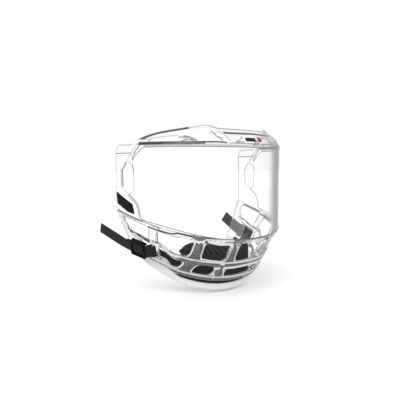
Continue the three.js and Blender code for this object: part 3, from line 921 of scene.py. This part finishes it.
def build_lens_lines():
    """The lens's lower edge, the lip under the brow and the rails' beads, each right across the front, as
    lines of painted shade and painted highlight.
    """
    # The lens's lower edge line: the forward place of its ends, and its drop there and at the front
    foot_rear, foot_drops = 0.048, (0.0805, 0.1003)
    foot_ease = 1.25                     # how late the drop grows
    ledge_drop = changing((0.0036, 0.0007), (0.072, 0.080))

    def foot_drop(angle):
        return lerp(*foot_drops, ((forward_at(angle) - foot_rear) / (REACH - foot_rear)) ** foot_ease)

    # Name, forward place of the ends, width, tone, drop and surface
    lines = [
        ("lens_foot_line", foot_rear, 0.0010, "line", foot_drop, wall_point),
        ("lens_lip_line", 0.0445, 0.0010, "line", level(0.0036), wall_point),
        ("brow_lip_band", 0.0445, 0.0012, "faint", level(0.0022), wall_point),
        ("ledge_line", 0.047, 0.0018, "dark", ledge_drop, guard_point),
    ]
    for name, rear, top_at, foot_at in (("middle", 0.056, middle_at, middle_foot),
                                        ("bottom", 0.030, bottom_at, bottom_foot)):
        for number, (width, tone, part) in enumerate(RAIL_LINES):
            def rail_drop(angle, top_at=top_at, foot_at=foot_at, part=part):
                return lerp(top_at(angle), foot_at(angle), part)

            lines.append((f"{name}_rail_line_{number}", rear, width, tone, rail_drop, guard_point))
    for name, rear, width, tone, drop_at, surface in lines:
        def place(angle, across, lift, width=width, drop_at=drop_at, surface=surface):
            return surface(angle, drop_at(angle) + across * width / 2, -lift)

        finish_piece(bead(name, across_front(rear), place, tone), "visor", [], angle=60)


def build_strut_lines():
    """Beads of painted highlight and painted shade down the face of each strut, one piece a side."""
    for side in SIDES:
        beads = []
        for strut_sizes in STRUTS:
            wide = max(strut_sizes[2])
            for number, (width, tone, part) in enumerate(STRUT_LINES):
                def place(v, across, lift, width=width, part=part):
                    return strut_point(side, strut_sizes, v, part + across * width / wide / 2, -lift)

                beads.append(bead(f"strut_line_{number}", steps(*STRUT_LINE_ENDS, 14), place, tone))
        join_beads(beads, f"strut_lines_{side}")


def build_lines():
    build_line_set("wing_lines", WING_LINES, wing_lift)
    build_line_set("guard_lines", GUARD_LINES, guard_lift)
    build_line_set("front_lines", FRONT_LINES, front_lift)
    build_strut_lines()
    build_lens_lines()


# Guard

def section(tall, depth):
    """A bar's section, as shares of its height and insets: bevelled corners and a groove along its face."""
    sizes = bpy.context.scene.visor_guard
    cut, groove = sizes.bevel, sizes.groove
    edge, notch = cut / tall, groove / tall
    face = [(0, cut), (edge, 0), (0.5 - notch, 0), (0.5, groove), (0.5 + notch, 0), (1 - edge, 0)]
    return face + [(1, cut), (1, depth - cut), (1 - edge, depth), (edge, depth), (0, depth - cut)]


def rail(name, rear, top_at, foot_at, depth):
    tall = foot_at(math.pi / 2) - top_at(math.pi / 2)

    def place(angle, v, inset):
        return guard_point(angle, lerp(top_at(angle), foot_at(angle), v), inset)

    return closed_bar(name, across_front(rear), section(tall, depth), place)


# The guard's struts on each side: the middle's share of the half width and the width, above and below
STRUTS = (
    ("cheek", (0.64, 0.68), (0.0085, 0.0105), level(LEDGE_DROP), middle_at),
    ("front", (0.27, 0.3), (0.0085, 0.0125), level(LEDGE_DROP), middle_at),
    ("jaw", (0.71, 0.77), (0.0115, 0.0115), middle_foot, bottom_at),
    ("chin", (0.375, 0.42), (0.0155, 0.0155), middle_foot, bottom_at),
)
FLARE_FROM = 0.45          # share of a strut's half length where its flare begins, its growth and its ease
FLARE_GROWTH = 0.45
FLARE_EASE = 0.3


def strut_point(side, strut_sizes, v, across, inset):
    """A point of a strut that flares into the rails it joins."""
    _, shares, widths, top_at, foot_at = strut_sizes
    flare = 1 + FLARE_GROWTH * max(0.0, abs(2 * v - 1) - FLARE_FROM) ** 2 / FLARE_EASE
    middle = HALF_WIDTH * lerp(*shares, v)
    angle = angle_side(middle + (across - 0.5) * lerp(*widths, v) * flare)
    return side_place(side, guard_point(angle, lerp(top_at(angle), foot_at(angle), v), inset))


def strut(side, strut_sizes, depth):
    """A strut that runs a little into both rails, and stands back from their faces."""
    run_in, stand_back = 0.12, 0.0002

    def place(v, across, inset):
        return strut_point(side, strut_sizes, v, across, inset + stand_back)

    ring = section(max(strut_sizes[2]), depth)
    return closed_bar(strut_sizes[0], steps(-run_in, 1 + run_in, 16), ring, place)


def side_patch(name, side, forwards, drops, depth):
    """A plate of the guard's side between two forward values and two drops, each given at both ends."""
    def place(u, v, inset):
        forward = lerp(lerp(forwards[0][0], forwards[1][0], u), lerp(forwards[0][1], forwards[1][1], u), v)
        angle = angle_forward(forward)
        drop = lerp(drops[0](angle), drops[1](angle), v)
        return side_place(side, guard_point(angle, drop, inset))

    ring = [(0, 0), (0.25, 0), (0.5, 0), (0.75, 0), (1, 0), (1, depth), (0.5, depth), (0, depth)]
    return closed_bar(name, steps(0, 1, 14), ring, place)


def build_guard():
    """The guard's moulding: rails, struts, side vents, jaw plates and posts, run together as moulded."""
    sizes = bpy.context.scene.visor_guard
    deep, thin = sizes.bar_depth, sizes.plate_depth

    crease = level(0.0)

    def vent_foot(angle):
        return lerp(*VENT_FOOT, forward_at(angle) / VENT_LONG)

    pieces = [
        rail("ledge", 0.047, crease, level(LEDGE_DROP), thin),
        rail("middle", 0.047, middle_at, middle_foot, deep),
        rail("bottom", 0.0293, bottom_at, bottom_foot, deep),
    ]
    for side in SIDES:
        pieces += [strut(side, strut_sizes, deep) for strut_sizes in STRUTS]
        pieces += [side_patch(name, side, forwards, drops, thin) for name, forwards, drops in (
            ("vent_top", ((0.0005, 0.0005), (0.054, 0.054)), (crease, level(VENT_TOP))),
            ("vent_foot", ((0.0008, 0.0008), (0.053, 0.053)), (vent_foot, middle_foot)),
            ("vent_rear", ((0.0006, 0.0006), (0.0085, 0.0123)), (crease, middle_foot)),
            ("vent_front", ((0.0485, 0.0435), (0.0585, 0.0545)), (crease, middle_foot)),
            ("jaw_plate", ((0.001, 0.001), (0.029, 0.0296)), (middle_at, bottom_foot)),
            ("side_post", ((0.0512, 0.0512), (0.0552, 0.0552)), (middle_at, bottom_foot)),
        )]
    guard = join_pieces(pieces, "guard_moulding")
    remesh = guard.modifiers.new("Run together", "REMESH")
    remesh.mode = "VOXEL"
    remesh.voxel_size = sizes.grain
    smooth = guard.modifiers.new("Fillets", "SMOOTH")
    smooth.factor = 0.5
    smooth.iterations = 3
    apply_modifiers(guard)
    guard.data.materials.clear()
    guard.data.materials.append(clear_bar_material())
    nodes = ["ledge_rail", "middle_rail", "bottom_rail"]
    for part in ("cheek_strut", "front_strut", "jaw_strut", "chin_strut", "vent_frame", "jaw_plate",
                 "side_post"):
        nodes += [f"{part}_right", f"{part}_left"]
    finish_piece(guard, "visor", nodes, angle=60)
    for side in SIDES:
        build_strap_post(side)


def build_strap_post(side):
    low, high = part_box(f"strap_post_{side}")
    centre = (Vector(low) + Vector(high)) / 2
    up = side_place(side, STRAP_UP)
    deselect()
    bpy.ops.mesh.primitive_cylinder_add(vertices=24, radius=POST_RADIUS, depth=POST_LONG)
    post = bpy.context.object
    post.name = post.data.name = f"strap_post_clear_{side}"
    post.data.transform(Matrix.Translation(centre) @ up.to_track_quat("Z", "X").to_matrix().to_4x4())
    post.data.materials.append(clear_bar_material())
    # The post's rounded ends take the bar edge material, painted shade along them
    post.data.materials.append(edge_material("bar"))
    soften(post, 0.0003, material=1)
    finish_piece(post, "visor", [f"strap_post_{side}"])


# Chin cup and pads

CUP_REAR = 0.009           # forward place of the cup's rear tips
CUP_TOP = (0.0405, 0.054)  # drop of its upper edge at the sides and the front
CUP_FOOT = (0.056, 0.063)  # drop of its lower edge at the rear and the front
CUP_CURL = 0.013           # how far the foot curls in at the front
CUP_UPRIGHT = 0.4          # share of the wall that stands upright
CUP_STEP = (0.056, 0.076)  # forward places between which its upper edge steps down
PAD_ROWS = 12
PAD_RIM = 0.0012           # how far a pad's face falls back at its rim
PAD_THIN = 0.45            # share of the thickness that is left at the rim
PAD_WALL = 0.92            # share of the named thickness that the mesh takes
PAD_TOP = (0.027, 0.010)   # drop of the upper pad's top at its ends and the front
PAD_TOP_RUN = 0.020        # length forwards over which it rises
PAD_SPLIT = (0.034, 0.0215)        # drop of the line between the pads, and where it changes
PAD_SPLIT_SPAN = (0.070, 0.098)
PAD_FOOT = (0.046, 0.056)          # drop of the lower pad's foot, which changes where the cup's edge does
UPPER_PAD_REAR = 0.078     # forward places of both pads' ends
LOWER_PAD_REAR = 0.040


def build_cup():
    sizes = bpy.context.scene.visor_chin
    top = changing(CUP_TOP, CUP_STEP)

    def place(angle, v):
        part = forward_at(angle) / REACH
        foot = lerp(*CUP_FOOT, math.sqrt(part))
        curl = max(0.0, v - CUP_UPRIGHT) / (1 - CUP_UPRIGHT)
        drop = lerp(top(angle), foot, math.sin(v * math.pi / 2))
        point = outline(angle, CUP_SHRINK, CUP_INSET + CUP_CURL * part * curl * curl)
        point.z = -crease_at(angle) - drop
        return point

    piece = grid_piece("chin_cup_shell", across_front(CUP_REAR, 60), steps(0, 1, 12), place, [cup_material()])
    wall(piece, sizes.cup_wall)
    soften(piece, 0.0007, segments=3)
    finish_piece(piece, "visor", ["chin_cup"], angle=50)


def build_pad(name, node, rear, top_at, foot_at, channel_depth, count):
    """A foam pad whose thickness swells from its rim, with slanted channels in its face."""
    sizes = bpy.context.scene.visor_chin
    start = angle_forward(rear)
    face = CUP_INSET + sizes.cup_wall + FRAME_SEAM
    long = (outline(start) - outline(math.pi - start)).length

    def swell(part):
        return 1 - (2 * part - 1) ** 6

    def place(u, v):
        angle = lerp(start, math.pi - start, u)
        turns = (long * (u - 0.5) + sizes.channel_slant * v) / sizes.channel_wide
        groove = channel_depth * swell(v) * (0.5 - 0.5 * math.cos(2 * math.pi * turns)) ** 2
        rim = PAD_RIM * ((2 * v - 1) ** 6 + (2 * u - 1) ** 20)
        point = outline(angle, CUP_SHRINK, face + groove + rim)
        point.z = -crease_at(angle) - lerp(top_at(angle), foot_at(angle), v)
        return point

    piece = grid_piece(name, steps(0, 1, count), steps(0, 1, PAD_ROWS), place,
                       [foam_material(long, channel_depth > 0)])
    group = piece.vertex_groups.new(name="swell")
    across = count + 1
    for vertex in piece.data.vertices:
        u = (vertex.index % across) / count
        v = (vertex.index // across) / PAD_ROWS
        group.add([vertex.index], lerp(PAD_THIN, 1, swell(u) * swell(v)), "REPLACE")
    wall(piece, sizes.pad_thick * PAD_WALL, weights="swell")
    soften(piece, 0.001, segments=3, limit=50)
    finish_piece(piece, "visor", [node], angle=60)


def build_pads():
    sizes = bpy.context.scene.visor_chin

    def top(angle):
        part = (forward_at(angle) - UPPER_PAD_REAR) / PAD_TOP_RUN
        return lerp(*PAD_TOP, math.sqrt(min(1.0, max(0.0, part))))

    split = changing(PAD_SPLIT, PAD_SPLIT_SPAN)
    foot = changing(PAD_FOOT, CUP_STEP)
    build_pad("chin_pad_upper_foam", "chin_pad_upper", UPPER_PAD_REAR, top,
              lambda angle: split(angle) + FRAME_SEAM, sizes.channel_depth, 150)
    build_pad("chin_pad_lower_foam", "chin_pad_lower", LOWER_PAD_REAR, split, foot, 0.0, 80)


# Straps and glides, by places along the strap from its post

STRAP_STAND = 0.0048       # how far the under layer stands out from the post's middle
WEB_CLEAR = 0.00035
POST_RADIUS = 0.0016
POST_LONG = 0.0138
STRAP_UNDER = 0.033        # end of the under layer
STRAP_MEET = 0.0065        # where the layers lie together
STRAP_FREE = 0.030         # where the free part begins to climb
SLANT_FROM = 0.028         # how far along the free part the slanted end sets in
RIGHT_SLANT = 0.004        # how much longer the right strap's end is on one side
CLIMB_EASE = 0.004         # how gently the free part begins to climb
TWIST_OVER = 0.016         # length over which it takes up its twist
LOOP_TURNS = (-36, -243)   # turns between which the webbing goes round the post
GLIDE_SPAN = (0.0067, 0.0262)
GLIDE_PLATE = 0.0016       # thickness of a glide's bars, and their length along the strap
GLIDE_BAR = 0.0022


def webbing_line(sizes, reach):
    """The webbing's centre line as places along and outwards, from the under layer's end."""
    over = STRAP_STAND + sizes.web_thick + WEB_CLEAR
    loop = POST_RADIUS + WEB_CLEAR + sizes.web_thick / 2
    line = [(along, STRAP_STAND) for along in steps(STRAP_UNDER, STRAP_MEET, 9)]
    for degrees in steps(*LOOP_TURNS, 20):
        line.append((loop * math.cos(math.radians(degrees)), loop * math.sin(math.radians(degrees))))
    line += [(along, over) for along in steps(STRAP_MEET, STRAP_FREE, 8)]
    line += [(along, over) for along in steps(STRAP_FREE, reach, 20)[1:]]
    return line


def build_straps():
    """Each strap: round its post, through its glide, then free; the right one is cut at a slant."""
    sizes = bpy.context.scene.visor_strap
    for side, reach, rise, twist, slant in (
            ("right", sizes.reach_right, sizes.rise_right, sizes.twist, RIGHT_SLANT),
            ("left", sizes.reach_left, sizes.rise_left, 0.0, 0.0)):
        line = webbing_line(sizes, reach)
        gone = [0.0]
        for a, b in zip(line, line[1:]):
            gone.append(gone[-1] + math.dist(a, b))

        def place(distance, up):
            i = min(range(len(line)), key=lambda k: abs(gone[k] - distance))
            along, out = line[i]
            free = max(0.0, along - STRAP_FREE) if i > len(line) / 2 else 0.0
            if free > SLANT_FROM:
                grown = (free - SLANT_FROM) / (reach - STRAP_FREE - SLANT_FROM)
                free -= slant * up / sizes.web_wide * grown
                along = STRAP_FREE + free
            lift = rise * free * free / (free + CLIMB_EASE)
            turn = twist * smooth_step(free, 0.0, TWIST_OVER)
            point = strap_point(along, up * math.cos(turn) + lift, out - up * math.sin(turn))
            return side_place(side, point)

        half = sizes.web_wide / 2
        piece = grid_piece(f"webbing_{side}", gone, steps(-half, half, 8), place, [webbing_material()],
                           outward=lambda centre: side_place(side, STRAP_OUT))
        wall(piece, sizes.web_thick, offset=0.0)
        soften(piece, 0.0003, limit=50)
        finish_piece(piece, f"strap_{side}", [f"strap_{side}"], angle=50)


def glide_bar(along, up, out, side):
    """A bar of a glide, a box in the strap's own directions."""
    deselect()
    bpy.ops.mesh.primitive_cube_add(size=1)
    bar = bpy.context.object
    for vertex in bar.data.vertices:
        ends = zip((along, up, out), vertex.co)
        vertex.co = side_place(side, strap_point(*[lerp(*span, 0.5 + c) for span, c in ends]))
    if side == "right":
        bar.data.flip_normals()
    return bar


def build_glides():
    """Each glide: two side rails, a bar at either end over the webbing and a wider one under it."""
    sizes = bpy.context.scene.visor_strap
    half = sizes.web_wide / 2 + WEB_CLEAR
    low = STRAP_STAND - sizes.web_thick / 2 - WEB_CLEAR
    high = STRAP_STAND + sizes.web_thick + WEB_CLEAR + sizes.web_thick / 2 + WEB_CLEAR
    start, end = GLIDE_SPAN
    middle = (start + end) / 2
    whole = (low - GLIDE_PLATE, high + GLIDE_PLATE)
    over, under = (high, high + GLIDE_PLATE), (low - GLIDE_PLATE, low)
    across = (-half - sizes.side_rail / 2, half + sizes.side_rail / 2)
    for side in SIDES:
        glide, *others = [glide_bar(*spans, side) for spans in (
            (GLIDE_SPAN, (half, half + sizes.side_rail), whole),
            (GLIDE_SPAN, (-half - sizes.side_rail, -half), whole),
            ((start, start + GLIDE_BAR), across, over),
            ((end - GLIDE_BAR, end), across, over),
            ((middle - GLIDE_BAR, middle + GLIDE_BAR), across, under),
        )]
        for bar in others:
            union = glide.modifiers.new("Join", "BOOLEAN")
            union.operation = "UNION"
            union.object = bar
            union.solver = "EXACT"
        apply_modifiers(glide)
        for bar in others:
            bpy.data.objects.remove(bar)
        glide.name = glide.data.name = f"glide_{side}_body"
        glide.data.materials.append(black_plastic_material())
        soften(glide, 0.0006, segments=3)
        finish_piece(glide, f"glide_{side}", [f"tri_glide_{side}"])


# Badge and brow mark

def build_badge():
    """A bare dark plate on the right wing, wider below than above, with a cut corner."""
    # Corners by places forward and down, and the share of the width at which the foot bends
    top_rear, top_front = (0.0014, 0.0503), (0.0284, 0.0629)
    foot_rear, foot_bend, foot_front = (0.0034, 0.0634), (0.0215, 0.0718), (0.0313, 0.0737)
    bend_share, rest_share, stand = 0.65, 0.35, 0.0009

    def between(a, b, part):
        return [lerp(low, high, part) for low, high in zip(a, b)]

    def place(u, v):
        if u < bend_share:
            foot = between(foot_rear, foot_bend, u / bend_share)
        else:
            foot = between(foot_bend, foot_front, (u - bend_share) / rest_share)
        forward, drop = between(between(top_rear, top_front, u), foot, v)
        return wall_point(angle_forward(forward), drop, -stand)

    piece = grid_piece("badge_plate", steps(0, 1, 20), steps(0, 1, 6), place, [black_plastic_material()])
    wall(piece, 0.0006)
    soften(piece, 0.0002)
    finish_piece(piece, "visor", ["badge_right"])


def build_brow_mark():
    """Two plain bars of print on the brow, one black and one red."""
    for name, sides, heights, tone in (
            ("brow_bar_black", (-0.0176, -0.0024), (0.0024, 0.0064), (0.003, 0.003, 0.0035)),
            ("brow_bar_red", (0.0019, 0.0076), (0.0026, 0.0076), (0.27, 0.006, 0.035))):
        piece = grid_piece(name, steps(*sides, 6), steps(*heights, 2),
                           lambda side, height: brow_lift(side, height, 0.0002),
                           [print_material(name.replace("_", " "), tone)])
        wall(piece, 0.00015)
        finish_piece(piece, "visor", [])


# Stage

def view_turn(turn, tilt):
    """The rotation of a camera or a lamp that looks this far round and down."""
    way = Vector((math.sin(turn) * math.cos(tilt), math.cos(turn) * math.cos(tilt), -math.sin(tilt)))
    return way.to_track_quat("-Z", "Y").to_euler()


def build_stage():
    sizes = bpy.context.scene.visor_studio
    scene = bpy.context.scene
    deselect()
    bpy.ops.object.camera_add(location=sizes.camera_place,
                              rotation=view_turn(sizes.camera_turn, sizes.camera_tilt))
    camera = bpy.context.object
    camera.data.lens = sizes.camera_lens
    camera.data.sensor_width = 36.0
    camera.data.clip_start = 0.01
    scene.camera = camera

    low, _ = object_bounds()
    bpy.ops.mesh.primitive_plane_add(size=30, location=(0, 0, low[2] - sizes.floor_gap))
    floor = bpy.context.object
    floor.name = floor.data.name = "floor"
    floor.data.materials.append(floor_material())
    floor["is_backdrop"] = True

    # Each sun's turn from the camera, its height and its softness, in degrees
    for name, strength, turn, height, softness in (("key", sizes.key_strength, 20, 50, 50),
                                                   ("fill", sizes.fill_strength, -80, 35, 70)):
        bpy.ops.object.light_add(type="SUN")
        lamp = bpy.context.object
        lamp.name = name
        lamp.data.energy = strength
        lamp.data.angle = math.radians(softness)
        lamp.rotation_euler = view_turn(sizes.camera_turn + math.radians(turn), math.radians(height))
    build_world(sizes.room_strength)
    scene.view_settings.view_transform = "Standard"
    deselect()


def seen_directly(tree):
    """1 for a ray from the camera, or one that gloss or clearness sends on."""
    rays = tree.nodes.new("ShaderNodeLightPath").outputs
    total = rays["Is Camera Ray"]
    for name in ("Is Glossy Ray", "Is Transmission Ray"):
        total = calculate(tree, "MAXIMUM", total, rays[name])
    return total


def floor_material():
    """A pale floor that shows white, with the visor's soft shadow."""
    return material_of("pale floor", lambda tree: {
        "Base Color": solid((0.72, 0.72, 0.72)),
        "Roughness": 0.9,
        "Emission Color": solid((1, 1, 1)),
        "Emission Strength": calculate(tree, "MULTIPLY", seen_directly(tree), 0.28),
    })


def build_world(strength):
    """White to the eye, and a plain light of the given strength to everything else."""
    world = bpy.context.scene.world or bpy.data.worlds.new("studio")
    bpy.context.scene.world = world
    world.use_nodes = True
    tree = world.node_tree
    tree.nodes.clear()
    room, white = [add_node(tree, "Background", {"Color": solid((1, 1, 1)), "Strength": level}).outputs[0]
                   for level in (strength, 1.0)]
    mix = add_node(tree, "MixShader", {0: seen_directly(tree), 1: room, 2: white})
    add_node(tree, "OutputWorld", {"Surface": mix.outputs["Shader"]})


# Operators

class VISOR_OT_shell(bpy.types.Operator):
    """Build the lens and wings"""
    bl_idname = "visor.shell"
    bl_label = "Lens and wings"

    def execute(self, context):
        build_shell()
        return {"FINISHED"}


class VISOR_OT_brow(bpy.types.Operator):
    """Build the folded brow, its moulded lines in painted shade, and its printed bars"""
    bl_idname = "visor.brow"
    bl_label = "Brow"

    def execute(self, context):
        build_brow()
        build_line_set("brow_lines", BROW_LINES, brow_lift)
        build_brow_mark()
        return {"FINISHED"}


class VISOR_OT_wing_lines(bpy.types.Operator):
    """Build the moulded lines of wings, guard and lens in painted shade and painted highlights, and the badge
    """
    bl_idname = "visor.wing_lines"
    bl_label = "Moulded lines and badge"

    def execute(self, context):
        build_lines()
        build_badge()
        return {"FINISHED"}


class VISOR_OT_guard(bpy.types.Operator):
    """Build the guard's rails, struts, side frames and strap posts"""
    bl_idname = "visor.guard"
    bl_label = "Guard"

    def execute(self, context):
        build_guard()
        return {"FINISHED"}


class VISOR_OT_chin(bpy.types.Operator):
    """Build the chin cup and its pads"""
    bl_idname = "visor.chin"
    bl_label = "Chin cup and pads"

    def execute(self, context):
        build_cup()
        build_pads()
        return {"FINISHED"}


class VISOR_OT_straps(bpy.types.Operator):
    """Build the straps and their glides"""
    bl_idname = "visor.straps"
    bl_label = "Straps and glides"

    def execute(self, context):
        build_straps()
        build_glides()
        return {"FINISHED"}


class VISOR_OT_stage(bpy.types.Operator):
    """Build the floor, lights and camera"""
    bl_idname = "visor.stage"
    bl_label = "Stage"

    def execute(self, context):
        build_stage()
        return {"FINISHED"}


class VISOR_PT_panel(bpy.types.Panel):
    """Lists the steps that build the visor"""
    bl_label = "Hockey full visor"
    bl_idname = "VISOR_PT_panel"
    bl_space_type = "VIEW_3D"
    bl_region_type = "UI"
    bl_category = "Visor"

    def draw(self, context):
        for operator in OPERATORS:
            self.layout.operator(operator.bl_idname)


OPERATORS = (VISOR_OT_stage, VISOR_OT_shell, VISOR_OT_brow, VISOR_OT_wing_lines, VISOR_OT_guard,
             VISOR_OT_chin, VISOR_OT_straps)
GROUPS = {
    "visor_finish": VisorFinish,
    "visor_shell": VisorShell,
    "visor_guard": VisorGuard,
    "visor_chin": VisorChin,
    "visor_strap": VisorStrap,
    "visor_studio": VisorStudio,
}


def register():
    for group in GROUPS.values():
        bpy.utils.register_class(group)
    for name, group in GROUPS.items():
        setattr(bpy.types.Scene, name, PointerProperty(type=group))
    for operator in OPERATORS:
        bpy.utils.register_class(operator)
    bpy.utils.register_class(VISOR_PT_panel)


def unregister():
    bpy.utils.unregister_class(VISOR_PT_panel)
    for operator in reversed(OPERATORS):
        bpy.utils.unregister_class(operator)
    for name, group in GROUPS.items():
        delattr(bpy.types.Scene, name)
        bpy.utils.unregister_class(group)


def main():
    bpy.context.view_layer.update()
    register()
    bpy.ops.visor.stage()
    bpy.ops.visor.shell()
    bpy.ops.visor.brow()
    bpy.ops.visor.wing_lines()
    bpy.ops.visor.guard()
    bpy.ops.visor.chin()
    bpy.ops.visor.straps()


if __name__ == "__main__":
    main()
